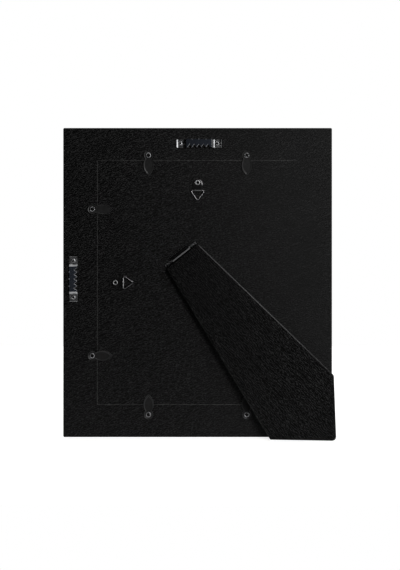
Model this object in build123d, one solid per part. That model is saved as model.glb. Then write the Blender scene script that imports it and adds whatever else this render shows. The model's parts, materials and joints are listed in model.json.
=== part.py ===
"""Easel-back photo frame. It is modelled lying face down, x to the right, y up the
frame and z out of its back, with z = 0 on the back; the last lines stand it up."""

import math
import os

from build123d import *

# Whole frame
frame_width = 282.4
frame_height = 324.8
frame_depth = 22.0
corner_radius = 1.4

# Allowances
overrun = 1.0  # how far a cutter runs past what it cuts
turning_gap = 0.06  # radial, round a pin or screw that something turns on
fixed_gap = 0.05  # radial, round a shank that stays put
face_gap = 0.12  # between flat faces that slide on each other

# Moulding section
moulding_width = 41.2
side_margin = 35.7  # outer edge to the board recess, left and right rails
end_margin = 34.0  # the same, top and bottom rails
lip_thickness = 4.8
outer_edge_radius = 2.6
front_flat_width = 11.0
cove_sag = 2.2
bead_width = 4.4
bead_rise = 1.3

# What lies in the recess
cover_thickness = 0.6
cover_inset = 0.4
board_thickness = 3.0
board_gap = 0.5  # round the board, and the width of the slit in the cover
insert_thickness = 0.3
insert_side_gap = 3.9
insert_end_gap = 1.4
glass_thickness = 2.0
glass_gap = 0.8
stack_play = 0.2

# Corner nails, one leg in each rail
nail_leg = 5.0
nail_thickness = 0.5
nail_height = 10.0
nail_reaches = [13.0, 26.0]  # from the outer corner to the bend, along each rail

# Pan-head screws
screw_head_radius = 2.9
screw_head_height = 1.5
screw_dome_shares = [(1.0, 0.32), (0.88, 0.72), (0.45, 1.0)]  # of head radius and height
screw_shank_radius = 1.4
screw_length = 11.0
screw_tip_length = 2.0
driver_length = 2.4
driver_width = 0.85
driver_depth = 1.1

# Turn buttons
turn_spread_x = 51.5
turn_spread_y = 76.8
turn_offset = 5.0  # pivot outside the recess, top and left
bottom_turn_offset = 10.1
turn_eye_radius = 4.9
turn_neck_width = 6.9
turn_neck_reach = 3.9
turn_leaf_width = 10.6
turn_leaf_reach = 11.4
turn_tip_reach = 21.2
turn_tip_radius = 0.6
turn_tip_shrink_share = 2.0  # the point draws back by this much of an inset
turn_thickness = 1.0
turn_edge_chamfer = 0.2
turn_rim_width = 0.35
turn_rim_slope = 1.0  # width of the slope from the rim to the dished floor
turn_dish_depth = 0.45

# Strap hangers; insets run from the recess to the ring's straight side, reaches from that side
top_strap_inset = 31.8
left_strap_inset = 27.5
strap_sheet = 0.7
strap_width = 10.4
strap_loop_width = 8.0
strap_shoulder_reach = 2.6
strap_end_reach = 6.6
strap_rivet_reach = 8.2
strap_bevel_width = 0.9
strap_bevel_depth = 0.2
ring_wire_radius = 0.68
ring_play = 0.16
ring_width = 15.2
ring_drop = 10.9
ring_corner_radius = 1.5
ring_tip_radius = 1.3
ring_joint_gap = 0.3

# Hollow rivets of the straps
eyelet_flange_radius = 2.6
eyelet_flange_height = 0.6
eyelet_shank_radius = 1.5
eyelet_bore_radius = 1.1
eyelet_clinch_radius = 2.4
eyelet_clinch_height = 0.6

# Sawtooth hangers
top_saw_x = 1.3
top_saw_inset = 16.7  # from the frame's edge to the strip's middle
left_saw_y = 3.6
left_saw_inset = 11.1
saw_length = 47.5
saw_width = 8.4
saw_sheet = 0.8
saw_rise = 2.1
saw_bridge_length = 26.4
saw_ramp_run = 2.3
saw_bend_radius = 0.3
saw_end_radius = 0.45
saw_screw_spacing = 38.4
saw_screw_head_radius = 2.4
saw_seat_length = 5.2  # flat under a screw's head, between slopes
saw_seat_slope = 12.0
tooth_count = 5
tooth_pitch = 4.8
tooth_depth = 2.8
tooth_tip = 0.5
tooth_bevel_width = 0.6
tooth_bevel_depth = 0.3
nib_count = 3
nib_pitch = 7.4
nib_radius = 0.8

# Easel hinge
hinge_x = -17.6
hinge_y = 29.4
hinge_tilt = 38.0
hinge_length = 39.0
hinge_knuckle_lift = 0.3
leg_knuckle_length = 22.0
knuckle_gap = 0.35
knuckle_window_length = 3.4
knuckle_window_width = 1.3
pin_radius = 0.9
pin_head_radius = 1.35
pin_head_height = 0.5
leaf_thickness = 0.7
leaf_length = 22.0
leaf_corner_radius = 3.0
stop_angle = 36.0
stop_reach = 4.2
hinge_rivet_head_radius = 2.3
hinge_rivet_head_height = 0.6
hinge_rivet_shank_radius = 1.2
hinge_rivet_clinch_radius = 2.0
hinge_rivet_clinch_height = 0.6
hinge_rivet_spread = 11.5
hinge_rivet_near = 7.5
hinge_rivet_far = 16.5

# Easel leg
leg_top_width = 41.5
leg_setback = 3.2  # from the pin to the leg's top edge
leg_thickness = 3.0
leg_edge_radius = 0.6
leg_bevel_width = 0.9
leg_bevel_depth = 0.22
leg_top_radius = 1.2
leg_ajar_angle = 2.4  # how far it stands off the board when let go
leg_rivet_depth = 2.2
left_flare = 6.7
right_flare = 7.9
foot_side_proud = 0.8
foot_floor_gap = 0.3
foot_bottom_slant = 0.65
foot_side_slant = 1.7
foot_corner_radius = 4.2
foot_shoulder_radius = 5.0
foot_heel_radius = 1.0

# Sizes that follow from those above
recess_width = frame_width - 2 * side_margin
recess_height = frame_height - 2 * end_margin
board_width = recess_width - 2 * board_gap
board_height = recess_height - 2 * board_gap
board_inner = -(cover_thickness + board_thickness)
recess_floor = board_inner - insert_thickness - stack_play - glass_thickness
strap_loop_radius = ring_wire_radius + ring_play + strap_sheet
strap_height = 2 * strap_sheet
knuckle_radius = pin_radius + turning_gap + leaf_thickness
pin_z = hinge_knuckle_lift + knuckle_radius
leg_under = pin_z + knuckle_radius
turn_head_z = 2 * face_gap + turn_thickness - turn_dish_depth


def turned(x, y, angle):
    """Point (x, y) turned about the origin by an angle in degrees."""
    cosine = math.cos(math.radians(angle))
    sine = math.sin(math.radians(angle))
    return (x * cosine - y * sine, x * sine + y * cosine)


def placed(shape, place):
    """A piece moved to its place on the back: x, y and angle."""
    x, y, angle = place
    return Pos(x, y, 0) * Rot(0, 0, angle) * shape


def spots(place, points):
    """Points of a placed piece as points of the back."""
    x, y, angle = place
    moved = [turned(px, py, angle) for px, py in points]
    return [(x + mx, y + my) for mx, my in moved]


def slab(outline, low, high):
    """A sketch made solid between two heights."""
    return Pos(0, 0, low) * extrude(outline, high - low)


def block(x_range, y_range, z_range):
    """A box given by its limits."""
    sizes = [high - low for low, high in (x_range, y_range, z_range)]
    middle = [(low + high) / 2 for low, high in (x_range, y_range, z_range)]
    return Pos(*middle) * Box(*sizes)


def holes(points, radius, low, high):
    """Round cutters, upright at each point."""
    return [Pos(x, y, 0) * slab(Circle(radius), low, high) for x, y in points]


def lathe(points):
    """Points in radius and height, turned into a round piece."""
    outline = make_face(Polyline(*points, close=True))
    return revolve(Plane.XZ * outline, Axis.Z)


# Places on the back: x, y, angle
turn_top_y = recess_height / 2 + turn_offset
turn_bottom_y = -recess_height / 2 - bottom_turn_offset
turn_left_x = -recess_width / 2 - turn_offset
turn_places = {
    "turn_button_top_left": (-turn_spread_x, turn_top_y, 0),
    "turn_button_top_right": (turn_spread_x, turn_top_y, 0),
    "turn_button_left_upper": (turn_left_x, turn_spread_y, 90),
    "turn_button_left_lower": (turn_left_x, -turn_spread_y, 90),
    "turn_button_bottom_left": (-turn_spread_x, turn_bottom_y, 180),
    "turn_button_bottom_right": (turn_spread_x, turn_bottom_y, 180),
}
strap_places = {
    "top": (0, recess_height / 2 - top_strap_inset, 0),
    "left": (left_strap_inset - recess_width / 2, 0, 90),
}
saw_places = {
    "top": (top_saw_x, frame_height / 2 - top_saw_inset, 0),
    "left": (left_saw_inset - frame_width / 2, left_saw_y, 90),
}
hinge_place = (hinge_x, hinge_y, hinge_tilt)

# Points where screws and rivets go through
saw_screw_points = [(-saw_screw_spacing / 2, 0), (saw_screw_spacing / 2, 0)]
hinge_rivet_points = [
    (-hinge_rivet_spread, -hinge_rivet_near),
    (hinge_rivet_spread, -hinge_rivet_near),
    (0, -hinge_rivet_far),
]
turn_spots = [(x, y) for x, y, angle in turn_places.values()]
saw_spots = [spot for place in saw_places.values() for spot in spots(place, saw_screw_points)]
strap_spots = [
    spot for place in strap_places.values() for spot in spots(place, [(0, strap_rivet_reach)])
]
hinge_spots = spots(hinge_place, hinge_rivet_points)


def moulding_section(margin):
    """Section of a rail: x inward from the outer edge, y out of the back."""
    back = -cover_thickness
    front = -frame_depth
    sight_front = recess_floor - lip_thickness
    bead_start = moulding_width - bead_width
    edges = [
        Line((0, back), (0, front + outer_edge_radius)),
        CenterArc((outer_edge_radius, front + outer_edge_radius), outer_edge_radius, 180, 90),
        Line((outer_edge_radius, front), (front_flat_width, front)),
        SagittaArc((front_flat_width, front), (bead_start, sight_front), cove_sag),
        SagittaArc((bead_start, sight_front), (moulding_width, sight_front), -bead_rise),
        Line((moulding_width, sight_front), (moulding_width, recess_floor)),
        Line((moulding_width, recess_floor), (margin, recess_floor)),
        Line((margin, recess_floor), (margin, back)),
        Line((margin, back), (0, back)),
    ]
    return make_face(edges)


def corner_nails():
    """Bent nails across each mitre, two to a corner."""
    nails = []
    for x_sign in (-1, 1):
        for y_sign in (-1, 1):
            for reach in nail_reaches:
                bend_x = x_sign * (frame_width / 2 - reach)
                bend_y = y_sign * (frame_height / 2 - reach)
                corners = [
                    (0, 0),
                    (nail_leg, 0),
                    (nail_leg, nail_thickness),
                    (nail_thickness, nail_thickness),
                    (nail_thickness, nail_leg),
                    (0, nail_leg),
                ]
                points = [(bend_x + x_sign * x, bend_y + y_sign * y) for x, y in corners]
                outline = make_face(Polyline(*points, close=True))
                nails.append(slab(outline, -cover_thickness - nail_height, -cover_thickness))
    return nails


def rail(length, reach, margin, angle):
    """One mitred rail, its outer edge a reach away from the frame's middle."""
    section_plane = Plane(origin=(-length / 2, -reach, 0), x_dir=(0, 1, 0), z_dir=(1, 0, 0))
    bar = extrude(section_plane * moulding_section(margin), length)
    inner = length / 2 - moulding_width
    corners = [
        (-length / 2, -reach),
        (length / 2, -reach),
        (inner, moulding_width - reach),
        (-inner, moulding_width - reach),
    ]
    mitre = slab(make_face(Polyline(*corners, close=True)), -frame_depth, 0)
    return Rot(0, 0, angle) * (bar & mitre)


def rails(nails):
    """The four rails, with their nail slots and screw holes."""
    rounded = slab(RectangleRounded(frame_width, frame_height, corner_radius), -frame_depth, 0)
    half_width = frame_width / 2
    half_height = frame_height / 2
    bars = {
        "rail_bottom": rail(frame_width, half_height, end_margin, 0),
        "rail_right": rail(frame_height, half_width, side_margin, 90),
        "rail_top": rail(frame_width, half_height, end_margin, 180),
        "rail_left": rail(frame_height, half_width, side_margin, -90),
    }
    drill_radius = screw_shank_radius + fixed_gap
    cutters = nails + holes(turn_spots + saw_spots, drill_radius, -screw_length, 0)
    return {name: (bar & rounded) - cutters for name, bar in bars.items()}


def slit(x_range, y_range, depth):
    """A straight cut with round ends, so that the sheet doesn't tear on."""
    middle = [(low + high) / 2 for low, high in (x_range, y_range)]
    width = x_range[1] - x_range[0]
    height = y_range[1] - y_range[0]
    turn = 0 if width > height else 90
    outline = Rot(0, 0, turn) * SlotOverall(max(width, height), min(width, height))
    return Pos(*middle, 0) * slab(outline, *depth)


def cover_sheet():
    """The grained sheet over rails and board, slit along three sides of the board."""
    width = frame_width - 2 * cover_inset
    height = frame_height - 2 * cover_inset
    sheet = slab(RectangleRounded(width, height, corner_radius), -cover_thickness, 0)
    depth = (-cover_thickness - overrun, overrun)
    half_width = recess_width / 2
    half_height = recess_height / 2
    slits = [
        slit((-half_width, board_gap - half_width), (-half_height, half_height), depth),
        slit((-half_width, half_width), (half_height - board_gap, half_height), depth),
        slit((-half_width, half_width), (-half_height, board_gap - half_height), depth),
    ]
    screw_cuts = holes(turn_spots + saw_spots, screw_shank_radius + fixed_gap, *depth)
    eyelet_cuts = holes(strap_spots, eyelet_shank_radius + fixed_gap, *depth)
    rivet_cuts = holes(hinge_spots, hinge_rivet_shank_radius + fixed_gap, *depth)
    return sheet - slits - screw_cuts - eyelet_cuts - rivet_cuts


def backing_board():
    """The board behind the print, with its rivet holes let in on the print's side."""
    board = slab(Rectangle(board_width, board_height), board_inner, -cover_thickness)
    eyelet_seat = board_inner + eyelet_clinch_height
    rivet_seat = board_inner + hinge_rivet_clinch_height
    cuts = holes(strap_spots, eyelet_shank_radius + fixed_gap, board_inner, 0)
    cuts += holes(strap_spots, eyelet_clinch_radius + fixed_gap, board_inner - overrun, eyelet_seat)
    cuts += holes(hinge_spots, hinge_rivet_shank_radius + fixed_gap, board_inner, 0)
    clinch_radius = hinge_rivet_clinch_radius + fixed_gap
    cuts += holes(hinge_spots, clinch_radius, board_inner - overrun, rivet_seat)
    return board - cuts


def print_insert():
    outline = Rectangle(recess_width - 2 * insert_side_gap, recess_height - 2 * insert_end_gap)
    return slab(outline, board_inner - insert_thickness, board_inner)


def glass_pane():
    outline = Rectangle(recess_width - 2 * glass_gap, recess_height - 2 * glass_gap)
    return slab(outline, recess_floor, recess_floor + glass_thickness)


def screw(head_z, head_radius):
    """A pan-head screw with a cross slot; its point reaches the drilled hole's end."""
    top = head_z + screw_head_height
    points = [
        (0, -screw_length),
        (screw_shank_radius, screw_tip_length - screw_length),
        (screw_shank_radius, head_z),
        (head_radius, head_z),
    ]
    for radius_share, height_share in screw_dome_shares:
        points.append((radius_share * head_radius, head_z + height_share * screw_head_height))
    body = lathe(points + [(0, top)])
    long_side = (-driver_length / 2, driver_length / 2)
    short_side = (-driver_width / 2, driver_width / 2)
    slot_depth = (top - driver_depth, top + overrun)
    slots = [block(long_side, short_side, slot_depth), block(short_side, long_side, slot_depth)]
    return body - slots


def leaf_outline(inset):
    """The turn button's outline, its point toward -y, drawn in by an inset."""
    neck = turn_neck_width / 2 - inset
    belly = turn_leaf_width / 2 - inset
    tip = (0, turn_tip_shrink_share * inset - turn_tip_reach)
    edges = [
        ThreePointArc((-neck, -turn_neck_reach), (-belly, -turn_leaf_reach), tip),
        ThreePointArc(tip, (belly, -turn_leaf_reach), (neck, -turn_neck_reach)),
        Line((neck, -turn_neck_reach), (neck, 0)),
        Line((neck, 0), (-neck, 0)),
        Line((-neck, 0), (-neck, -turn_neck_reach)),
    ]
    leaf = make_face(edges)
    point = leaf.vertices().sort_by(Axis.Y)[0]
    return fillet(point, turn_tip_radius) + Circle(turn_eye_radius - inset)


def turn_button():
    """A pressed leaf-shaped plate with a round eye and a turned-up rim."""
    top = face_gap + turn_thickness
    floor = top - turn_dish_depth
    plate = slab(leaf_outline(0), face_gap, top)
    plate = chamfer(plate.faces().sort_by(Axis.Z)[-1].edges(), turn_edge_chamfer)
    mouth = Pos(0, 0, top) * leaf_outline(turn_rim_width)
    bottom = Pos(0, 0, floor) * leaf_outline(turn_rim_width + turn_rim_slope)
    dish = loft([bottom.face(), mouth.face()], ruled=True)
    return plate - dish - slab(Circle(screw_shank_radius + turning_gap), 0, turn_head_z)


def strap():
    """A folded strap: loop round the ring's straight side, flat and round at its end."""
    loop = Pos(0, strap_loop_radius) * Circle(strap_loop_radius)
    flat_length = strap_end_reach + strap_width
    flat = Pos(flat_length / 2, strap_height / 2) * Rectangle(flat_length, strap_height)
    wire_hole = Pos(0, strap_loop_radius) * Circle(ring_wire_radius + ring_play)
    section_plane = Plane(origin=(-strap_width / 2, 0, 0), x_dir=(0, 1, 0), z_dir=(1, 0, 0))
    folded = extrude(section_plane * (loop + flat - wire_hole), strap_width)
    plate_length = strap_end_reach - strap_shoulder_reach
    plate = Pos(0, strap_shoulder_reach + plate_length / 2) * Rectangle(strap_width, plate_length)
    neck_length = strap_shoulder_reach + 2 * strap_loop_radius
    neck = Pos(0, strap_shoulder_reach - neck_length / 2) * Rectangle(strap_loop_width, neck_length)
    outline = plate + neck + Pos(0, strap_end_reach) * Circle(strap_width / 2)
    body = folded & slab(outline, 0, 2 * strap_loop_radius)
    end_edge = body.edges().filter_by(GeomType.CIRCLE).sort_by(Axis.Y)[-2:].sort_by(Axis.Z)[-1]
    top = body.faces().filter_by(GeomType.PLANE).filter_by(Axis.Z).sort_by(Axis.Z)[-1]
    body = chamfer(end_edge, strap_bevel_width, strap_bevel_depth, reference=top)
    drill = eyelet_shank_radius + fixed_gap
    return body - holes([(0, strap_rivet_reach)], drill, -overrun, strap_height + overrun)


def ring():
    """A bent wire triangle, its ends meeting inside the strap's loop."""
    half = ring_width / 2
    path = FilletPolyline(
        (ring_joint_gap / 2, 0, strap_loop_radius),
        (half, 0, strap_loop_radius),
        (0, -ring_drop, strap_loop_radius),
        (-half, 0, strap_loop_radius),
        (-ring_joint_gap / 2, 0, strap_loop_radius),
        radius=[ring_corner_radius, ring_tip_radius, ring_corner_radius],
    )
    return sweep(Plane(origin=path @ 0, z_dir=path % 0) * Circle(ring_wire_radius), path=path)


def eyelet():
    """A hollow rivet: domed flange on the strap, clinched under the board."""
    low = board_inner
    inner = eyelet_bore_radius
    points = [
        (inner, low),
        (eyelet_clinch_radius, low),
        (eyelet_clinch_radius, low + eyelet_clinch_height),
        (eyelet_shank_radius, low + eyelet_clinch_height),
        (eyelet_shank_radius, strap_height),
        (eyelet_flange_radius, strap_height),
        (eyelet_flange_radius, strap_height + eyelet_flange_height / 2),
        ((eyelet_flange_radius + inner) / 2, strap_height + eyelet_flange_height),
        (inner, strap_height + eyelet_flange_height / 2),
    ]
    return Pos(0, strap_rivet_reach, 0) * lathe(points)


def notch_outline(middle, growth):
    """A V notch in the sawtooth's edge, its sides moved out by a growth."""
    half = (tooth_pitch - tooth_tip) / 2
    depth = tooth_depth + growth * math.hypot(half, tooth_depth) / half
    half *= depth / tooth_depth
    edge = -saw_width / 2
    corners = [
        (middle - half, edge),
        (middle, edge + depth),
        (middle + half, edge),
        (middle + half, edge - overrun),
        (middle - half, edge - overrun),
    ]
    return make_face(Polyline(*corners, close=True))


def sawtooth():
    """A strip raised in the middle, toothed along -y, its ends dished under the screws."""
    half = saw_length / 2
    flat = saw_bridge_length / 2
    foot = flat + saw_ramp_run
    seat_in = (saw_screw_spacing - saw_seat_length) / 2
    seat_out = seat_in + saw_seat_length
    slope = math.tan(math.radians(saw_seat_slope))
    foot_rise = slope * (seat_in - foot)
    end_rise = slope * (half - seat_out)
    knee = saw_sheet * math.tan(math.atan2(saw_rise, saw_ramp_run) / 2)
    top = saw_rise + saw_sheet
    right = [
        (flat, top),
        (foot, saw_sheet + foot_rise),
        (seat_in, saw_sheet),
        (seat_out, saw_sheet),
        (half, saw_sheet + end_rise),
        (half, end_rise),
        (seat_out, 0),
        (seat_in, 0),
        (foot - knee, foot_rise),
        (flat - knee, saw_rise),
    ]
    left = [(-x, z) for x, z in reversed(right)]
    end_top = (half, saw_sheet + end_rise)
    bends = [saw_end_radius if (abs(x), z) == end_top else saw_bend_radius for x, z in right + left]
    section = make_face(FilletPolyline(*right, *left, radius=bends, close=True))
    plane = Plane(origin=(0, saw_width / 2, 0), x_dir=(1, 0, 0), z_dir=(0, -1, 0))
    strip = extrude(plane * section, saw_width)
    bevel_low = top - tooth_bevel_depth
    bevel_growth = tooth_bevel_width * (tooth_bevel_depth + overrun) / tooth_bevel_depth
    for index in range(tooth_count):
        middle = (index - (tooth_count - 1) / 2) * tooth_pitch
        notch = notch_outline(middle, 0)
        strip -= slab(notch, saw_rise / 2, top + overrun)
        wide = Pos(0, 0, top + overrun) * notch_outline(middle, bevel_growth)
        strip -= loft([(Pos(0, 0, bevel_low) * notch).face(), wide.face()], ruled=True)
    for index in range(nib_count):
        middle = (index - (nib_count - 1) / 2) * nib_pitch
        pip = slab(Circle(nib_radius), 0, nib_radius) & Sphere(nib_radius)
        strip += Pos(middle, saw_width / 2, saw_rise + saw_sheet / 2) * pip
        strip += Pos(middle, saw_width / 2, saw_rise) * slab(Circle(nib_radius), 0, saw_sheet / 2)
    drill = screw_shank_radius + fixed_gap
    return strip - holes(saw_screw_points, drill, -overrun, saw_sheet + overrun)


def barrel(x_low, x_high, radius):
    """A round length of the hinge's barrel."""
    plane = Plane(origin=(x_low, 0, pin_z), x_dir=(0, 1, 0), z_dir=(1, 0, 0))
    return extrude(plane * Circle(radius), x_high - x_low)


def leaf_plate(low, width):
    """A leaf from the barrel down the leg, round at its lower corners."""
    long_leaf = 2 * leaf_length
    outline = RectangleRounded(width, long_leaf, leaf_corner_radius)
    reach = (low - overrun, low + leaf_thickness + overrun)
    upper = block((-width, width), (0, long_leaf), reach)
    drills = holes(hinge_rivet_points, hinge_rivet_shank_radius + fixed_gap, *reach)
    return slab(outline, low, low + leaf_thickness) - upper - drills


def board_leaf():
    """The leaf on the board, with the barrel's two end knuckles."""
    half = hinge_length / 2
    inner = leg_knuckle_length / 2 + knuckle_gap
    room = knuckle_radius + knuckle_gap
    plate = leaf_plate(0, hinge_length)
    plate -= block((-inner, inner), (-room, room), (-overrun, leaf_thickness + overrun))
    leaf = plate + barrel(-half, -inner, knuckle_radius) + barrel(inner, half, knuckle_radius)
    middle = (inner + half) / 2
    window_x = (middle - knuckle_window_length / 2, middle + knuckle_window_length / 2)
    window_y = (-knuckle_window_width / 2, knuckle_window_width / 2)
    leaf -= block(window_x, window_y, (pin_z, leg_under + overrun))
    return leaf - barrel(-half - overrun, half + overrun, pin_radius + fixed_gap)


def leg_leaf():
    """The leaf on the leg, with the middle knuckle and the lip that stops the leg."""
    half = leg_knuckle_length / 2
    room = knuckle_radius + knuckle_gap
    low = leg_under - leaf_thickness
    plate = leaf_plate(low, hinge_length)
    for side in (-1, 1):
        span = sorted((side * half, side * hinge_length))
        plate -= block(span, (-room, room), (low - overrun, leg_under + overrun))
    lip_half = leaf_thickness / 2
    corner_reach = math.hypot(stop_reach, lip_half)
    corner_angle = math.degrees(math.atan2(lip_half, stop_reach))
    floor_angle = math.degrees(math.asin(pin_z / corner_reach))
    lip_angle = stop_angle + corner_angle - floor_angle
    lip = block((-half, half), (0, stop_reach), (-lip_half, lip_half))
    lip = Pos(0, 0, pin_z) * Rot(lip_angle, 0, 0) * lip
    leaf = plate + barrel(-half, half, knuckle_radius) + lip
    return leaf - barrel(-half - overrun, half + overrun, pin_radius + turning_gap)


def hinge_pin():
    """The pin, with a head at each end."""
    half = hinge_length / 2
    pin = barrel(-half, half, pin_radius)
    pin += barrel(half, half + pin_head_height, pin_head_radius)
    return pin + barrel(-half - pin_head_height, -half, pin_head_radius)


def board_rivet():
    """A rivet from the board leaf's face to the seat under the board."""
    low = board_inner
    head = hinge_rivet_head_radius
    shank = hinge_rivet_shank_radius
    points = [
        (0, low),
        (hinge_rivet_clinch_radius, low),
        (hinge_rivet_clinch_radius, low + hinge_rivet_clinch_height),
        (shank, low + hinge_rivet_clinch_height),
        (shank, leaf_thickness),
        (head, leaf_thickness),
        (head - hinge_rivet_head_height / 2, leaf_thickness + hinge_rivet_head_height),
        (0, leaf_thickness + hinge_rivet_head_height),
    ]
    return lathe(points)


def leg_rivet():
    """A rivet from under the leg's leaf up into the leg."""
    leaf_low = leg_under - leaf_thickness
    head = hinge_rivet_head_radius
    points = [
        (0, leaf_low - hinge_rivet_head_height),
        (head - hinge_rivet_head_height / 2, leaf_low - hinge_rivet_head_height),
        (head, leaf_low),
        (hinge_rivet_shank_radius, leaf_low),
        (hinge_rivet_shank_radius, leg_under + leg_rivet_depth),
        (0, leg_under + leg_rivet_depth),
    ]
    return lathe(points)


def crossing(point, angle, other, other_angle):
    """Where two lines meet, each a point and a direction in degrees."""
    ax, ay = turned(1, 0, angle)
    bx, by = turned(1, 0, other_angle)
    dx, dy = other[0] - point[0], other[1] - point[1]
    along = (dx * by - dy * bx) / (ax * by - ay * bx)
    return (point[0] + along * ax, point[1] + along * ay)


def easel_leg():
    """The leg: narrow at the hinge, its foot cut to the frame's bottom and side."""
    half = leg_top_width / 2
    top_left, top_right = spots(hinge_place, [(-half, -leg_setback), (half, -leg_setback)])
    down = hinge_tilt - 90
    foot = (frame_width / 2 + foot_side_proud, foot_floor_gap - frame_height / 2)
    heel = crossing(top_left, down - left_flare, foot, -foot_bottom_slant)
    shoulder = crossing(top_right, down + right_flare, foot, 90 + foot_side_slant)
    radii = [
        leg_top_radius,
        foot_heel_radius,
        foot_corner_radius,
        foot_shoulder_radius,
        leg_top_radius,
    ]
    outline = FilletPolyline(top_left, heel, foot, shoulder, top_right, radius=radii, close=True)
    leg = slab(make_face(outline), leg_under, leg_under + leg_thickness)
    leg = fillet(leg.faces().sort_by(Axis.Z)[0].edges(), leg_edge_radius)
    outside = leg.faces().sort_by(Axis.Z)[-1]
    leg = chamfer(outside.edges(), leg_bevel_width, leg_bevel_depth, reference=outside)
    drill = hinge_rivet_shank_radius + fixed_gap
    return leg - holes(hinge_spots, drill, leg_under - overrun, leg_under + leg_rivet_depth)


def ajar(shape):
    """A piece of the leg swung out about the pin, as the leg stands when let go."""
    pin_line = Pos(hinge_x, hinge_y, pin_z) * Rot(0, 0, hinge_tilt)
    return pin_line * Rot(-leg_ajar_angle, 0, 0) * pin_line.inverse() * shape


def at_points(piece, points):
    """The same piece at each point of the back."""
    return Compound([solid for x, y in points for solid in (Pos(x, y, 0) * piece).solids()])


nails = corner_nails()
nodes = rails(nails)
nodes["corner_nails"] = Compound([solid for nail in nails for solid in nail.solids()])
nodes["cover_sheet"] = cover_sheet()
nodes["backing_board"] = backing_board()
nodes["print_insert"] = print_insert()
nodes["glass_pane"] = glass_pane()
button = turn_button()
for name, place in turn_places.items():
    nodes[name] = placed(button, place)
nodes["turn_button_screws"] = at_points(screw(turn_head_z, screw_head_radius), turn_spots)
eyelets = []
for side, place in strap_places.items():
    nodes["strap_" + side] = placed(strap(), place)
    nodes["ring_" + side] = placed(ring(), place)
    eyelets += placed(eyelet(), place).solids()
nodes["strap_rivets"] = Compound(eyelets)
for side, place in saw_places.items():
    nodes["sawtooth_" + side] = placed(sawtooth(), place)
nodes["sawtooth_screws"] = at_points(screw(saw_sheet, saw_screw_head_radius), saw_spots)
nodes["hinge_board_leaf"] = placed(board_leaf(), hinge_place)
nodes["hinge_leg_leaf"] = ajar(placed(leg_leaf(), hinge_place))
nodes["hinge_pin"] = placed(hinge_pin(), hinge_place)
nodes["hinge_board_rivets"] = at_points(board_rivet(), hinge_spots)
nodes["hinge_leg_rivets"] = ajar(at_points(leg_rivet(), hinge_spots))
nodes["easel_leg"] = ajar(easel_leg())

# Stand it up: the back faces -Y and the bottom edge lies on Z = 0
upright = Plane(origin=(0, -frame_depth / 2, frame_height / 2), x_dir=(1, 0, 0), z_dir=(0, -1, 0))
os.makedirs("parts", exist_ok=True)
for name, piece in nodes.items():
    export_step(upright.location * piece, "parts/" + name + ".step")
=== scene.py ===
import json
import math

import bpy
import numpy as np
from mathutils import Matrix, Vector


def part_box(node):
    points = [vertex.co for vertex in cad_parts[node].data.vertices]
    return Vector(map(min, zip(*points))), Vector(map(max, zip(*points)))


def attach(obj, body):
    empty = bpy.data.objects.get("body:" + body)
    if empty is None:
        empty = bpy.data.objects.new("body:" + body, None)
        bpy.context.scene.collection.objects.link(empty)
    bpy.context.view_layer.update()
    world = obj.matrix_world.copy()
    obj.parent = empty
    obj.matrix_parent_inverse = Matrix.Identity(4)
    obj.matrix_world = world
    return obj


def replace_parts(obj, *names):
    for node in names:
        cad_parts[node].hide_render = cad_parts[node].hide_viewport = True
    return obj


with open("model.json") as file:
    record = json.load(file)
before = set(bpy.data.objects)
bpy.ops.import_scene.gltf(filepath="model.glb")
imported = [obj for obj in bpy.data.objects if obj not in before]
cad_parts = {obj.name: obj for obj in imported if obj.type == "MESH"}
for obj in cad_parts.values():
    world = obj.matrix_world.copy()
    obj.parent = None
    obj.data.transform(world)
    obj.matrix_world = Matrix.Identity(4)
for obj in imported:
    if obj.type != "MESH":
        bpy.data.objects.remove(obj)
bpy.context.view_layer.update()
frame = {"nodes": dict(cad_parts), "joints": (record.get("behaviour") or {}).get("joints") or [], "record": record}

cadNodes = frame["nodes"]
scene = bpy.context.scene
print("frame loaded:", len(cadNodes), "nodes")


# node tree helpers
def addNode(tree, kind, inputs=None, **settings):
    node = tree.nodes.new(kind)
    for key, value in settings.items():
        setattr(node, key, value)
    for key, value in (inputs or {}).items():
        socket = node.inputs[key]
        if isinstance(value, bpy.types.NodeSocket):
            tree.links.new(value, socket)
        else:
            socket.default_value = value
    return node


def mathNode(tree, operation, first, second=0.0):
    return addNode(tree, "ShaderNodeMath", {0: first, 1: second}, operation=operation).outputs[0]


def remap(tree, value, low, high, toLow=0.0, toHigh=1.0, smooth=False):
    kind = "SMOOTHSTEP" if smooth else "LINEAR"
    inputs = {"Value": value, "From Min": low, "From Max": high, "To Min": toLow, "To Max": toHigh}
    return addNode(tree, "ShaderNodeMapRange", inputs, interpolation_type=kind).outputs["Result"]


def mixColor(tree, factor, first, second):
    inputs = {0: factor, 6: first, 7: second}  # factor, A, B of the colour mix
    return addNode(tree, "ShaderNodeMix", inputs, data_type="RGBA").outputs[2]


def mixValue(tree, factor, first, second):
    inputs = {0: factor, 2: first, 3: second}  # factor, A, B of the value mix
    return addNode(tree, "ShaderNodeMix", inputs, data_type="FLOAT").outputs[0]


def objectPlace(tree):
    return addNode(tree, "ShaderNodeTexCoord").outputs["Object"]


def drawnOut(tree, place, turn, share):  # turned in the back's plane, then stretched one way
    inputs = {"Vector": place, "Rotation": (0.0, turn, 0.0), "Scale": (share, 1.0, 1.0)}
    return addNode(tree, "ShaderNodeMapping", inputs).outputs[0]


def noise(tree, place, scale, detail):
    inputs = {"Vector": place, "Scale": scale, "Detail": detail}
    return addNode(tree, "ShaderNodeTexNoise", inputs).outputs["Fac"]


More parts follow.
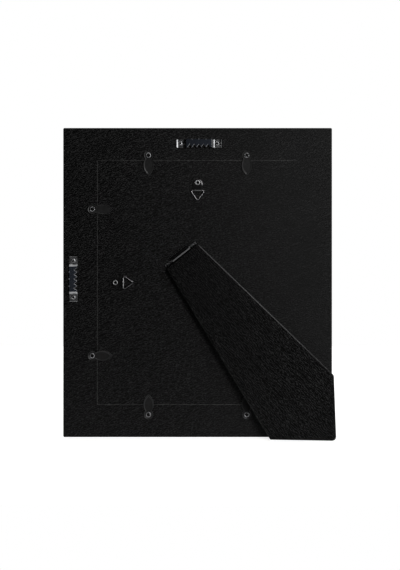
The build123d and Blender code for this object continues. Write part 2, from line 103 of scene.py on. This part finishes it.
def newGroup(name, inputs, outputs):
    tree = bpy.data.node_groups.new(name, "ShaderNodeTree")
    for label, value in inputs.items():
        socket = tree.interface.new_socket(label, in_out="INPUT", socket_type="NodeSocketFloat")
        socket.default_value = value
    for label in outputs:
        tree.interface.new_socket(label, in_out="OUTPUT", socket_type="NodeSocketFloat")
    return tree, addNode(tree, "NodeGroupInput").outputs, addNode(tree, "NodeGroupOutput").inputs


def useGroup(tree, group, **inputs):
    return addNode(tree, "ShaderNodeGroup", inputs, node_tree=group).outputs


def newMaterial(name, **sockets):
    material = bpy.data.materials.new(name)
    material.use_nodes = True
    tree = material.node_tree
    shader = tree.nodes["Principled BSDF"]
    for label, value in sockets.items():
        shader.inputs[label.replace("_", " ")].default_value = value
    return material, tree, shader.inputs


def addBump(tree, shader, height, strength, distance):
    bump = addNode(tree, "ShaderNodeBump", {"Height": height, "Strength": strength, "Distance": distance})
    tree.links.new(bump.outputs["Normal"], shader["Normal"])


def grey(value):
    return (value, value, value, 1)


# grain of the black paper: short ridges that wander side by side, with creases between them
grainShape = {
    "bends": 0.75, "cells": 1.1,  # for each ridge
    "crease": 0.3, "depth": 0.6, "patches": 30.0, "patchSpan": (0.3, 0.7),
}


def makeLeatherGroup():
    inputs = {"Ridges": 450.0, "Along": 2.0, "Turn": 0.0, "Wander": 7.0}
    tree, given, made = newGroup("leatherGrain", inputs, ["Height", "Tone"])
    place = objectPlace(tree)
    turn = addNode(tree, "ShaderNodeCombineXYZ", {"Y": given["Turn"]}).outputs[0]
    size = addNode(tree, "ShaderNodeCombineXYZ", {"X": given["Along"], "Y": 1.0, "Z": 1.0}).outputs[0]
    mapping = {"Vector": place, "Rotation": turn, "Scale": size}
    laid = addNode(tree, "ShaderNodeMapping", mapping, vector_type="TEXTURE").outputs[0]
    across = addNode(tree, "ShaderNodeSeparateXYZ", {0: laid}).outputs["Z"]
    across = mathNode(tree, "MULTIPLY", across, given["Ridges"])
    bend = noise(tree, laid, mathNode(tree, "MULTIPLY", given["Ridges"], grainShape["bends"]), detail=1.0)
    phase = mathNode(tree, "MULTIPLY", across, 2 * math.pi)
    phase = mathNode(tree, "ADD", phase, mathNode(tree, "MULTIPLY", bend, given["Wander"]))
    ridge = remap(tree, mathNode(tree, "SINE", phase), -1.0, 1.0)
    cells = {"Vector": laid, "Scale": mathNode(tree, "MULTIPLY", given["Ridges"], grainShape["cells"])}
    crease = addNode(tree, "ShaderNodeTexVoronoi", cells, feature="DISTANCE_TO_EDGE").outputs["Distance"]
    pebble = remap(tree, crease, 0.0, grainShape["crease"], 0.0, grainShape["depth"], smooth=True)
    tree.links.new(mathNode(tree, "ADD", pebble, ridge), made["Height"])
    patch = noise(tree, place, grainShape["patches"], detail=3.0)
    tree.links.new(remap(tree, patch, *grainShape["patchSpan"]), made["Tone"])
    return tree


# 1 within a band across a piece, 0 beyond it
def makeBandGroup():
    inputs = {"Along X": 1.0, "Along Z": 0.0, "Middle": 0.0, "Half": 0.01, "Fade": 0.0004}
    tree, given, made = newGroup("band", inputs, ["Mask"])
    split = addNode(tree, "ShaderNodeSeparateXYZ", {0: objectPlace(tree)}).outputs
    along = mathNode(tree, "MULTIPLY", split["X"], given["Along X"])
    along = mathNode(tree, "ADD", along, mathNode(tree, "MULTIPLY", split["Z"], given["Along Z"]))
    away = mathNode(tree, "ABSOLUTE", mathNode(tree, "SUBTRACT", along, given["Middle"]))
    edge = mathNode(tree, "ADD", given["Half"], given["Fade"])
    tree.links.new(remap(tree, away, given["Half"], edge, 1.0, 0.0, smooth=True), made["Mask"])
    return tree


# 1 where a surface turns away from the back's plane, as bevels do
def makeEdgeGroup():
    tree, given, made = newGroup("turnedEdges", {"Low": 0.975, "High": 0.992}, ["Mask"])
    normal = addNode(tree, "ShaderNodeTexCoord").outputs["Normal"]
    facing = mathNode(tree, "ABSOLUTE", addNode(tree, "ShaderNodeSeparateXYZ", {0: normal}).outputs["Y"])
    tree.links.new(remap(tree, facing, given["Low"], given["High"], 1.0, 0.0, smooth=True), made["Mask"])
    return tree


# fine scratches and dull patches on metal
scuffShape = {
    "turn": 0.66, "drawn": 0.08, "lineSpan": (0.38, 0.62), "patches": 260.0, "patchSpan": (0.35, 0.65),
}


def makeScuffGroup():
    tree, given, made = newGroup("metalScuffs", {"Scratch": 900.0}, ["Scratch", "Patch"])
    place = objectPlace(tree)
    drawn = drawnOut(tree, place, scuffShape["turn"], scuffShape["drawn"])
    lines = noise(tree, drawn, given["Scratch"], detail=3.0)
    tree.links.new(remap(tree, lines, *scuffShape["lineSpan"]), made["Scratch"])
    dull = noise(tree, place, scuffShape["patches"], detail=4.0)
    tree.links.new(remap(tree, dull, *scuffShape["patchSpan"], smooth=True), made["Patch"])
    return tree


# short fibres of board and paper, laid two ways
fibreShape = {
    "turns": (0.4, -0.9), "drawn": 0.2, "strandSpan": (0.45, 0.7), "clouds": 40.0, "cloudSpan": (0.3, 0.7),
}


def makeFibreGroup():
    tree, given, made = newGroup("fibres", {"Fibres": 900.0}, ["Fibre", "Cloud"])
    place = objectPlace(tree)
    layers = []
    for turn in fibreShape["turns"]:
        drawn = drawnOut(tree, place, turn, fibreShape["drawn"])
        layers.append(noise(tree, drawn, given["Fibres"], detail=2.0))
    strands = mathNode(tree, "MAXIMUM", *layers)
    tree.links.new(remap(tree, strands, *fibreShape["strandSpan"]), made["Fibre"])
    tree.links.new(noise(tree, place, fibreShape["clouds"], detail=3.0), made["Cloud"])
    return tree


leatherGroup = makeLeatherGroup()
scuffGroup = makeScuffGroup()
fibreGroup = makeFibreGroup()
edgeGroup = makeEdgeGroup()
bandGroup = makeBandGroup()
print("node groups made")


def leatherMaterial(look):
    material, tree, shader = newMaterial(look["name"], Specular_IOR_Level=look["specular"])
    laid = {"Ridges": look["ridges"], "Along": look["along"], "Turn": look["turn"], "Wander": look["wander"]}
    grain = useGroup(tree, leatherGroup, **laid)
    crease = grey(look["crease"])
    top = grey(look["top"])
    if "paintedShading" in look:  # painted light and shade: within a band the creases are paler and the tops darker
        fade = useGroup(tree, bandGroup, **look["paintedShading"])["Mask"]
        crease = mixColor(tree, fade, crease, grey(look["paintedShadingCrease"]))
        top = mixColor(tree, fade, top, grey(look["paintedShadingTop"]))
    # the tone follows the grain's height, creases darker than the tops: painted shade in the creases
    color = mixColor(tree, remap(tree, grain["Height"], *look["span"]), crease, top)
    tree.links.new(color, shader["Base Color"])
    tree.links.new(remap(tree, grain["Tone"], 0.0, 1.0, *look["roughness"]), shader["Roughness"])
    height = grain["Height"]
    if "rubbed" in look:  # bevels are rubbed smooth and shine
        edge = useGroup(tree, edgeGroup)["Mask"]
        height = mathNode(tree, "MULTIPLY", height, mathNode(tree, "SUBTRACT", 1.0, edge))
        tree.links.new(mathNode(tree, "MULTIPLY", edge, look["shine"]), shader["Coat Weight"])
        shader["Coat Roughness"].default_value = look["rubbed"]
    addBump(tree, shader, height, look["bump"], look["relief"])
    return material


# the rail leather; its darker creases are painted shade
railLook = {
    "name": "railLeather", "ridges": 510, "along": 1.8, "turn": -0.4, "wander": 18.0, "specular": 0.075,
    "span": (0.8, 1.15), "crease": 0.0, "top": 0.0145, "roughness": (0.58, 0.5),
    "bump": 1.0, "relief": 0.00018,
}
# the back: toward its right side a band of painted light and shade flattens the grain
backLook = dict(
    railLook, name="backLeather",
    paintedShading={"Along X": 1.0, "Middle": 0.16, "Half": 0.02, "Fade": 0.2}, paintedShadingCrease=0.0034, paintedShadingTop=0.0092,
)
# the leg: painted shade toward the hinge, a band of darker tops there
legLook = dict(
    railLook, name="legLeather", turn=0.8, wander=16.0, specular=0.035, span=(0.85, 1.15), top=0.0155,
    paintedShading={"Along X": 1.0, "Middle": -0.03, "Half": 0.01, "Fade": 0.12}, paintedShadingCrease=0.0006, paintedShadingTop=0.0095,
    rubbed=0.3, shine=0.2,
)


def fibreMaterial(look):
    material, tree, shader = newMaterial(look["name"], Specular_IOR_Level=look["specular"])
    strands = useGroup(tree, fibreGroup, Fibres=look["fibres"])
    color = mixColor(tree, strands["Fibre"], look["ground"], look["strand"])
    tree.links.new(color, shader["Base Color"])
    rough = remap(tree, strands["Cloud"], *fibreShape["cloudSpan"], *look["roughness"])
    tree.links.new(rough, shader["Roughness"])
    addBump(tree, shader, strands["Fibre"], look["bump"], look["relief"])
    return material


boardLook = {
    "name": "hardboard", "fibres": 900, "specular": 0.2, "ground": (0.09, 0.052, 0.028, 1),
    "strand": (0.17, 0.105, 0.06, 1), "roughness": (0.7, 0.85), "bump": 0.5, "relief": 0.0001,
}
paperLook = {
    "name": "insertPaper", "fibres": 1400, "specular": 0.3, "ground": (0.78, 0.78, 0.76, 1),
    "strand": (0.84, 0.84, 0.82, 1), "roughness": (0.55, 0.65), "bump": 0.15, "relief": 0.00003,
}
edgeLook = {
    "name": "cutEdge", "fibres": 1500, "specular": 0.2, "ground": (0.002, 0.002, 0.002, 1),
    "strand": (0.032, 0.032, 0.031, 1), "roughness": (0.55, 0.75), "bump": 0.5, "relief": 0.00006,
}


def steelMaterial(look):
    material, tree, shader = newMaterial(look["name"], Metallic=1.0)
    scuffs = useGroup(tree, scuffGroup, Scratch=look["scratch"])
    color = mixColor(tree, scuffs["Patch"], look["dull"], look["bright"])
    rough = remap(tree, scuffs["Scratch"], 0.0, 1.0, *look["roughness"])
    if "band" in look:  # a band of the piece has another colour and roughness: a painted dark reflection on the sawtooth strips' middles, a painted highlight on the hinge leaf
        band = useGroup(tree, bandGroup, **look["band"])["Mask"]
        bandColor = look["bandColor"]
        bandRough = look["bandRoughness"]
        if "turnedFace" in look:  # its turned faces keep a lighter metal, outside the painted dark reflection
            edge = useGroup(tree, edgeGroup, Low=look["turnedFaceFrom"], High=look["turnedFaceTo"])["Mask"]
            bandColor = mixColor(tree, edge, bandColor, look["turnedFace"])
            bandRough = mixValue(tree, edge, bandRough, look["turnedFaceRoughness"])
        color = mixColor(tree, band, color, bandColor)
        rough = mixValue(tree, band, rough, bandRough)
    tree.links.new(color, shader["Base Color"])
    tree.links.new(rough, shader["Roughness"])
    addBump(tree, shader, scuffs["Scratch"], look["bump"], look["relief"])
    return material


nickelLook = {
    "name": "darkNickel", "scratch": 900, "dull": (0.16, 0.162, 0.167, 1), "bright": (0.24, 0.242, 0.246, 1),
    "roughness": (0.3, 0.38), "bump": 0.2, "relief": 0.00001,
}
screwLook = dict(nickelLook, name="screwNickel", roughness=(0.26, 0.32))
# the eyelets: a lighter copy of the dark nickel, painted light
eyeletLook = dict(
    nickelLook, name="eyeletNickel", dull=(0.32, 0.322, 0.326, 1), bright=(0.42, 0.422, 0.426, 1),
)
# the ring wires: a darker copy of the dark nickel, painted shade
wireLook = dict(
    nickelLook, name="wireNickel", dull=(0.1, 0.101, 0.103, 1), bright=(0.15, 0.151, 0.153, 1),
    roughness=(0.2, 0.26),
)
hingeLook = dict(
    nickelLook, name="hingeNickel", dull=(0.14, 0.141, 0.143, 1), bright=(0.2, 0.201, 0.203, 1),
    roughness=(0.2, 0.28),
)
leafLook = dict(
    nickelLook, name="leafSteel", dull=(0.003, 0.003, 0.003, 1), bright=(0.006, 0.006, 0.006, 1),
    bandColor=(0.13, 0.131, 0.133, 1), bandRoughness=0.45,
)
# the band's dark bluish colour is a painted reflection of dark surroundings
stripLook = {
    "scratch": 700, "dull": (0.08, 0.081, 0.083, 1), "bright": (0.12, 0.121, 0.123, 1),
    "bump": 0.2, "relief": 0.00001, "bandColor": (0.018, 0.021, 0.027, 1), "bandRoughness": 0.34,
    "turnedFace": (0.11, 0.112, 0.118, 1), "turnedFaceRoughness": 0.42, "turnedFaceFrom": 0.9, "turnedFaceTo": 0.96,
}


def enamelMaterial(look):
    material, tree, shader = newMaterial(look["name"], Specular_IOR_Level=look["specular"])
    scuffs = useGroup(tree, scuffGroup, Scratch=look["scratch"])
    color = mixColor(tree, scuffs["Patch"], grey(look["low"]), grey(look["high"]))
    rough = remap(tree, scuffs["Patch"], 0.0, 1.0, *look["roughness"])
    if "band" in look:  # a painted highlight of bare steel along a fold, its gloss gone where the ring swings
        band = useGroup(tree, bandGroup, **look["band"])["Mask"]
        color = mixColor(tree, band, color, look["bandColor"])
        rough = mixValue(tree, band, rough, look["bandRoughness"])
        tree.links.new(band, shader["Metallic"])
        chafe = useGroup(tree, bandGroup, **look["chafed"])["Mask"]
        gloss = mathNode(tree, "MULTIPLY", mathNode(tree, "SUBTRACT", 1.0, chafe), look["gloss"])
        tree.links.new(gloss, shader["Coat Weight"])
        shader["Coat Roughness"].default_value = look["glossRoughness"]
    if "shine" in look:  # rims are rubbed to a shine
        edge = useGroup(tree, edgeGroup)["Mask"]
        tree.links.new(mathNode(tree, "MULTIPLY", edge, look["shine"]), shader["Coat Weight"])
        shader["Coat Roughness"].default_value = look["rubbed"]
    tree.links.new(color, shader["Base Color"])
    tree.links.new(rough, shader["Roughness"])
    addBump(tree, shader, scuffs["Patch"], look["bump"], look["relief"])
    return material


buttonLook = {
    "name": "blackEnamel", "scratch": 700, "specular": 0.03, "low": 0.012, "high": 0.0155,
    "roughness": (0.4, 0.5), "bump": 0.2, "relief": 0.00002, "rubbed": 0.36, "shine": 0.3,
}
# near-black paint in the screw recesses and eyelet bores: painted shade
pitLook = {
    "name": "screwPit", "scratch": 700, "specular": 0.1, "low": 0.0005, "high": 0.001,
    "roughness": (0.6, 0.7), "bump": 0.2, "relief": 0.00002,
}
strapLook = {
    "scratch": 700, "specular": 0.05, "low": 0.0025, "high": 0.0045,
    "roughness": (0.4, 0.5), "bump": 0.2, "relief": 0.00002,
    "bandColor": (0.13, 0.131, 0.133, 1), "bandRoughness": 0.4, "gloss": 0.8, "glossRoughness": 0.24,
}


def glassMaterial(look):
    sockets = {"Transmission_Weight": 1.0, "IOR": look["ior"], "Base_Color": look["color"]}
    material, tree, shader = newMaterial(look["name"], **sockets)
    smears = useGroup(tree, fibreGroup, Fibres=look["smears"])
    rough = remap(tree, smears["Cloud"], *look["smearSpan"], *look["roughness"])
    tree.links.new(rough, shader["Roughness"])
    return material


glassLook = {
    "name": "clearGlass", "ior": 1.5, "color": (0.97, 0.99, 0.98, 1),
    "smears": 60, "smearSpan": (0.45, 0.75), "roughness": (0.0, 0.05),
}

backLeather = leatherMaterial(backLook)
legLeather = leatherMaterial(legLook)
railLeather = leatherMaterial(railLook)
cutEdge = fibreMaterial(edgeLook)
screwNickel = steelMaterial(screwLook)
eyeletNickel = steelMaterial(eyeletLook)
screwPit = enamelMaterial(pitLook)
ringNickel = steelMaterial(wireLook)
slotMaterials = {
    "wrapped_rail": railLeather,
    "grained_sheet": backLeather,
    "grained_leg": legLeather,
    "hardboard": fibreMaterial(boardLook),
    "insert_paper": fibreMaterial(paperLook),
    "clear_glass": glassMaterial(glassLook),
    "black_steel": enamelMaterial(buttonLook),
    "bright_steel": steelMaterial(nickelLook),
}
nodeMaterials = {
    "ring_top": ringNickel,
    "ring_left": ringNickel,
    "hinge_board_leaf": steelMaterial(hingeLook),
}

# straps: a painted highlight, a line of bare steel along the fold, and dull beside it
foldSizes = {
    "wire": 0.00095, "half": 0.00025, "fade": 0.0002,
    "chafe": 0.0032, "chafeHalf": 0.002, "chafeFade": 0.0018,
}
folds = {  # share of X and Z along the strap, its fold's place, way from the fold to the eyelet
    "strap_top": (0.0, 1.0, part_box("ring_top")[1].z - foldSizes["wire"], 1.0),
    "strap_left": (1.0, 0.0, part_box("ring_left")[0].x + foldSizes["wire"], -1.0),
}
for name, (alongX, alongZ, foldPlace, way) in folds.items():
    along = {"Along X": alongX, "Along Z": alongZ}
    paintedFoldHighlight = dict(along, Middle=foldPlace, Half=foldSizes["half"], Fade=foldSizes["fade"])
    chafePlace = foldPlace + way * foldSizes["chafe"]
    chafed = dict(along, Middle=chafePlace, Half=foldSizes["chafeHalf"], Fade=foldSizes["chafeFade"])
    nodeMaterials[name] = enamelMaterial(dict(strapLook, name=name + "Enamel", band=paintedFoldHighlight, chafed=chafed))

# sawtooth strips: the toothed middle is dark and bluish, a painted reflection of dark surroundings
toothedHalf = 0.0131
stripFinishAndLight = {  # share of X and Z along each strip, then how far its ends and its middle are lightened, painted light on the left strip
    "sawtooth_top": {"along": (1.0, 0.0), "ends": 1.0, "middle": 1.0, "roughness": (0.26, 0.32)},
    "sawtooth_left": {"along": (0.0, 1.0), "ends": 2.8, "middle": 6.0, "roughness": (0.32, 0.38)},
}
for name, finishAndLight in stripFinishAndLight.items():
    low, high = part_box(name)
    alongX, alongZ = finishAndLight["along"]
    stripMiddle = (low + high) / 2
    toothed = {"Along X": alongX, "Along Z": alongZ, "Half": toothedHalf}
    toothed["Middle"] = stripMiddle.x * alongX + stripMiddle.z * alongZ
    stripZinc = dict(stripLook, name=name + "Zinc", band=toothed, roughness=finishAndLight["roughness"])
    for key, lift in (("dull", finishAndLight["ends"]), ("bright", finishAndLight["ends"]), ("bandColor", finishAndLight["middle"])):
        stripZinc[key] = tuple(level * lift for level in stripLook[key][:3]) + (1,)
    nodeMaterials[name] = steelMaterial(stripZinc)

# hinge leaf on the leg: a painted highlight, a line of bright metal along the knuckle's top
crestSizes = {"half": 0.0006, "fade": 0.0003, "drop": 0.0006}
hinge = next(joint for joint in frame["joints"] if joint["name"] == "leg_hinge")
acrossX, acrossZ = hinge["axis"][2], -hinge["axis"][0]  # up the leg's plane, square to the pin
crest = {"Along X": acrossX, "Along Z": acrossZ, "Half": crestSizes["half"], "Fade": crestSizes["fade"]}
crest["Middle"] = hinge["pos_m"][0] * acrossX + hinge["pos_m"][2] * acrossZ - crestSizes["drop"]
nodeMaterials["hinge_leg_leaf"] = steelMaterial(dict(leafLook, band=crest))

for part in frame["record"]["subparts"]:
    name = part["node"]
    cadNodes[name].material_slots[0].material = nodeMaterials.get(name, slotMaterials[part["material_slot"]])
print("materials made:", len(bpy.data.materials))


def meshPiece(name, points, faces, material, body, dark=None):
    mesh = bpy.data.meshes.new(name)
    mesh.from_pydata([tuple(point) for point in points], [], faces)
    mesh.validate()
    mesh.update()
    mesh.polygons.foreach_set("use_smooth", [True] * len(mesh.polygons))
    piece = bpy.data.objects.new(name, mesh)
    scene.collection.objects.link(piece)
    mesh.materials.append(material)
    if dark:
        mesh.materials.append(screwPit)
        mesh.polygons.foreach_set("material_index", [int(flag) for flag in dark])
    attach(piece, body)
    return piece


# frayed paper edge that stands up over each slit in the back
lip = {
    "slit": 0.0005, "width": 0.0009, "height": 0.00008, "most": 0.0001, "sunk": 0.00005,
    "step": 0.0012, "rounds": 6, "fray": 0.5, "leastShare": 0.25, "ends": 4,
}
boardLow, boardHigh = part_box("backing_board")
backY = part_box("cover_sheet")[0].y


def lipRows(start, end, across, seed):
    rng = np.random.default_rng(seed)
    count = int((end - start).length / lip["step"])
    fray = rng.normal(0, 1, count + 3)
    fray = 1 + lip["fray"] * (fray[:-2] + fray[1:-1] + fray[2:]) / 3  # each with its neighbours
    rows = []
    for index in range(count + 1):
        spot = start.lerp(end, index / count)
        taper = min(1.0, index / lip["ends"], (count - index) / lip["ends"])
        rise = lip["height"] * max(lip["leastShare"], fray[index])
        rise = min(lip["most"], rise) * taper  # stays under the turn buttons
        row = []
        for turn in range(lip["rounds"] + 1):
            share = turn / lip["rounds"]
            side = across * (share - 0.5) * lip["width"]
            row.append(spot + side + Vector((0, -rise * math.sin(math.pi * share), 0)))
        sunk = Vector((0, lip["sunk"], 0))
        row += [row[-1] + sunk, row[0] + sunk]
        rows.append(row)
    return rows


def beadFaces(rows, columns):
    lastRow = (rows - 1) * columns
    faces = [tuple(range(columns)), tuple(reversed(range(lastRow, lastRow + columns)))]  # both ends
    for row in range(rows - 1):
        near, far = row * columns, (row + 1) * columns
        for column in range(columns):
            after = (column + 1) % columns
            faces.append((near + column, far + column, far + after, near + after))
    return faces


slitGap = lip["slit"] / 2
lowX, highX = boardLow.x - slitGap, boardHigh.x
lowZ, highZ = boardLow.z - slitGap, boardHigh.z + slitGap
slitLines = {
    "slitLipLeft": ((lowX, lowZ), (lowX, highZ), Vector((-1, 0, 0))),
    "slitLipTop": ((lowX, highZ), (highX, highZ), Vector((0, 0, 1))),
    "slitLipBottom": ((lowX, lowZ), (highX, lowZ), Vector((0, 0, 1))),
}
for seed, (name, (start, end, across)) in enumerate(slitLines.items()):
    rows = lipRows(Vector((start[0], backY, start[1])), Vector((end[0], backY, end[1])), across, seed)
    points = [point for row in rows for point in row]
    faces = beadFaces(len(rows), len(rows[0]))
    meshPiece(name, points, faces, cutEdge, "frame")
print("slit lips made")

# screw heads and hollow rivets, turned from a profile; lengths in metres, heights above the seat
turning = {
    "apart": 0.006,  # points within this of each other are of one screw or rivet
    "pitStart": 0.0003,  # a dent deeper than this is painted dark, painted shade in the recess
}


def turnedSpots(node):
    piece = cadNodes[node]
    spots = []
    for vertex in piece.data.vertices:
        point = piece.matrix_world @ vertex.co
        for spot in spots:
            if math.hypot(point.x - spot["seed"].x, point.z - spot["seed"].z) < turning["apart"]:
                break
        else:
            spot = {"seed": point, "low": point.copy(), "high": point.copy()}
            spots.append(spot)
        for axis in range(3):
            spot["low"][axis] = min(spot["low"][axis], point[axis])
            spot["high"][axis] = max(spot["high"][axis], point[axis])
    return spots


def spotSizes(spot, rise):
    centre = (spot["low"] + spot["high"]) / 2
    radius = (spot["high"].x - spot["low"].x) / 2
    seatY = spot["low"].y + rise
    return centre, radius, seatY, spot["high"].y - seatY


def latheMesh(profile, spokes, centre, seatY, dent=None, darkRings=0):
    points, faces, dark, drops = [], [], [], []
    for radius, height in profile:
        for spoke in range(spokes):
            angle = 2 * math.pi * spoke / spokes
            x, z = radius * math.cos(angle), radius * math.sin(angle)
            drops.append(dent(x, z, height) if dent else 0.0)
            points.append((centre.x + x, seatY - height + drops[-1], centre.z + z))
    for ring in range(len(profile) - 1):
        near, far = ring * spokes, (ring + 1) * spokes
        for spoke in range(spokes):
            after = (spoke + 1) % spokes
            faces.append((near + spoke, far + spoke, far + after, near + after))
            deep = min(drops[index] for index in faces[-1]) > turning["pitStart"]
            dark.append(ring < darkRings or deep)
    faces.append(tuple(range(spokes)))
    faces.append(tuple(reversed(range(len(points) - spokes, len(points)))))
    dark += [dark[0], dark[-1]]
    return points, faces, dark


def joinMeshes(parts):
    points, faces, dark = [], [], []
    for morePoints, moreFaces, moreDark in parts:
        base = len(points)
        points += morePoints
        faces += [tuple(base + index for index in face) for face in moreFaces]
        dark += moreDark
    return points, faces, dark


screwHead = {
    "height": 0.0015, "power": 2.6, "rings": 16, "crowding": 1.4, "centreShare": 0.001, "spokes": 56,
    "shank": 0.0014, "shankShare": 0.8, "point": 0.00001,
    "arm": 0.0017, "armHalf": 0.00125, "wall": 0.00018, "depth": 0.001, "firstTurn": 0.5, "nextTurn": 0.7,
}
crossHead = dict(screwHead, arm=0.0013, armHalf=0.00035)


def headProfile(head, radius, length):
    profile = []
    for ring in range(head["rings"] + 1):
        share = 1 - (1 - ring / head["rings"]) ** head["crowding"]
        share = head["centreShare"] + (1 - head["centreShare"]) * share
        rise = max(0.0, 1 - share ** head["power"]) ** (1 / head["power"])
        profile.append((radius * share, head["height"] * rise))
    profile.append((head["shank"], 0.0))
    profile.append((head["shank"], -head["shankShare"] * length))
    profile.append((head["point"], -length))
    return profile


def crossDent(head, turn):
    def dent(x, z, height):
        u = abs(x * math.cos(turn) + z * math.sin(turn))
        v = abs(z * math.cos(turn) - x * math.sin(turn))
        inside = max(min(u, v) - head["armHalf"], max(u, v) - head["arm"])
        share = min(1.0, max(0.0, 0.5 - inside / head["wall"]))
        return head["depth"] * share if height > 0 else 0.0
    return dent


screwSets = {"turnScrews": ("turn_button_screws", screwHead), "stripScrews": ("sawtooth_screws", crossHead)}
for name, (node, head) in screwSets.items():
    parts = []
    for index, spot in enumerate(turnedSpots(node)):
        centre, radius, seatY, length = spotSizes(spot, head["height"])
        dent = crossDent(head, head["firstTurn"] + head["nextTurn"] * index)
        parts.append(latheMesh(headProfile(head, radius, length), head["spokes"], centre, seatY, dent))
    points, faces, dark = joinMeshes(parts)
    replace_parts(meshPiece(name, points, faces, screwNickel, "frame", dark=dark), node)

rivetTop = {
    "flange": 0.0006, "bore": 0.0015, "wall": 0.0004, "floor": 0.0024, "centre": 0.00001,
    "rounds": 12, "spokes": 40, "darkRings": 2,  # floor and wall of the bore are painted dark, painted shade in the bore
}


def eyeletProfile(radius, length):
    bore, wall = rivetTop["bore"], rivetTop["wall"]
    rollMiddle, rollHalf = (radius + bore) / 2, (radius - bore) / 2
    profile = [(rivetTop["centre"], -rivetTop["floor"]), (bore, -rivetTop["floor"])]
    for step in range(rivetTop["rounds"] + 1):
        angle = math.pi * step / rivetTop["rounds"]
        profile.append((rollMiddle - rollHalf * math.cos(angle), rivetTop["flange"] * math.sin(angle)))
    return profile + [(bore + wall, 0.0), (bore + wall, -length)]


parts = []
for spot in turnedSpots("strap_rivets"):
    centre, radius, seatY, length = spotSizes(spot, rivetTop["flange"])
    profile = eyeletProfile(radius, length)
    parts.append(latheMesh(profile, rivetTop["spokes"], centre, seatY, darkRings=rivetTop["darkRings"]))
points, faces, dark = joinMeshes(parts)
eyelets = meshPiece("strapEyelets", points, faces, eyeletNickel, "frame", dark=dark)
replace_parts(eyelets, "strap_rivets")
print("screws and eyelets made")


# what stands around the frame: floor, dark cards, lamps, world
def stageSheet(name, corners, material):
    mesh = bpy.data.meshes.new(name)
    mesh.from_pydata(corners, [], [(0, 1, 2, 3)])
    sheet = bpy.data.objects.new(name, mesh)
    scene.collection.objects.link(sheet)
    mesh.materials.append(material)
    return sheet


def stageCloth(name, look):
    material, tree, shader = newMaterial(name, Roughness=look["roughness"], Specular_IOR_Level=0.0)
    speckle = addNode(tree, "ShaderNodeTexNoise", {"Scale": look["speckle"]}).outputs["Fac"]
    tree.links.new(mixColor(tree, speckle, grey(look["low"]), grey(look["high"])), shader["Base Color"])
    return material, tree, shader


def seenRays(tree):  # 1 for what the camera sees, straight on, through glass or mirrored
    rays = addNode(tree, "ShaderNodeLightPath").outputs
    seen = mathNode(tree, "MAXIMUM", rays["Is Camera Ray"], rays["Is Transmission Ray"])
    return mathNode(tree, "MAXIMUM", seen, rays["Is Glossy Ray"])


floorLook = {
    "half": 1.1, "front": -0.2, "back": 0.9, "roughness": 0.9, "speckle": 300.0, "low": 0.56, "high": 0.6,
    "glow": 0.8, "glowColor": (1, 1, 1, 1),
}
floorMaterial, floorTree, floorShader = stageCloth("paleFloor", floorLook)
glow = mathNode(floorTree, "MULTIPLY", seenRays(floorTree), floorLook["glow"])
floorTree.links.new(glow, floorShader["Emission Strength"])
floorShader["Emission Color"].default_value = floorLook["glowColor"]
floorCorners = [
    (-floorLook["half"], floorLook["front"], 0), (floorLook["half"], floorLook["front"], 0),
    (floorLook["half"], floorLook["back"], 0), (-floorLook["half"], floorLook["back"], 0),
]
stageSheet("floor", floorCorners, floorMaterial)

cardLook = {"tall": 4.5, "roughness": 0.95, "speckle": 200.0, "low": 0.012, "high": 0.02}
cardEnds = {  # plan of each upright card, from end to end
    "darkCard": ((-4.5, -1.7), (4.5, -1.7)),
    "leftCard": ((-4.5, -1.7), (-2.2, 0.1)),
    "rightCard": ((4.5, -1.7), (2.2, 0.1)),
}
cardMaterial = stageCloth("darkCloth", cardLook)[0]
for name, (start, end) in cardEnds.items():
    tall = cardLook["tall"]
    card = stageSheet(name, [(*start, -tall), (*end, -tall), (*end, tall), (*start, tall)], cardMaterial)
    card.visible_camera = False
    card.visible_shadow = False

lampAim = Vector((0, 0, 0.16))
lamps = {
    "keyLamp": {"place": (0.46, -1.0, 0.5), "size": (0.25, 1.0), "power": 11},
    "rimLamp": {"place": (1.2, -0.5, 0.3), "size": (0.3, 0.6), "power": 3},
    "fillLamp": {"place": (-0.5, -0.6, 1.6), "size": (0.8, 0.8), "power": 1},
    "frontLamp": {"place": (-0.8, 1.6, 1.4), "size": (1.2, 1.2), "power": 34},
}
for name, look in lamps.items():
    light = bpy.data.lights.new(name, "AREA")
    light.shape = "RECTANGLE"
    light.size, light.size_y = look["size"]
    light.energy = look["power"]
    lamp = bpy.data.objects.new(name, light)
    lamp.location = look["place"]
    lamp.rotation_mode = "QUATERNION"
    lamp.rotation_quaternion = (lampAim - Vector(look["place"])).to_track_quat("-Z", "Y")
    scene.collection.objects.link(lamp)

skyLook = {"color": (1, 1, 1, 1), "dim": 0.15, "seen": 1.0}
world = bpy.data.worlds.new("studio")
scene.world = world
world.use_nodes = True
sky = world.node_tree
sky.nodes.clear()
dim = addNode(sky, "ShaderNodeBackground", {"Color": skyLook["color"], "Strength": skyLook["dim"]})
white = addNode(sky, "ShaderNodeBackground", {"Color": skyLook["color"], "Strength": skyLook["seen"]})
both = addNode(sky, "ShaderNodeMixShader", {0: seenRays(sky), 1: dim.outputs[0], 2: white.outputs[0]})
addNode(sky, "ShaderNodeOutputWorld", {"Surface": both.outputs[0]})
print("stage made")

# camera square on to the back
photo = {
    "height": 570, "mmPerPixel": 1.05, "centreX": 0.00252, "centreZ": 0.1598, "distance": 0.62,
    "sensor": 36, "nearest": 0.01,
}
cameraData = bpy.data.cameras.new("photoCamera")
camera = bpy.data.objects.new("photoCamera", cameraData)
camera.location = (photo["centreX"], backY - photo["distance"], photo["centreZ"])
camera.rotation_euler = (math.pi / 2, 0, 0)
viewHeight = photo["height"] * photo["mmPerPixel"] / 1000
cameraData.sensor_width = photo["sensor"]
cameraData.lens = cameraData.sensor_width * photo["distance"] / viewHeight
cameraData.clip_start = photo["nearest"]
scene.collection.objects.link(camera)
scene.camera = camera
scene.view_settings.view_transform = "Standard"
print("camera set")
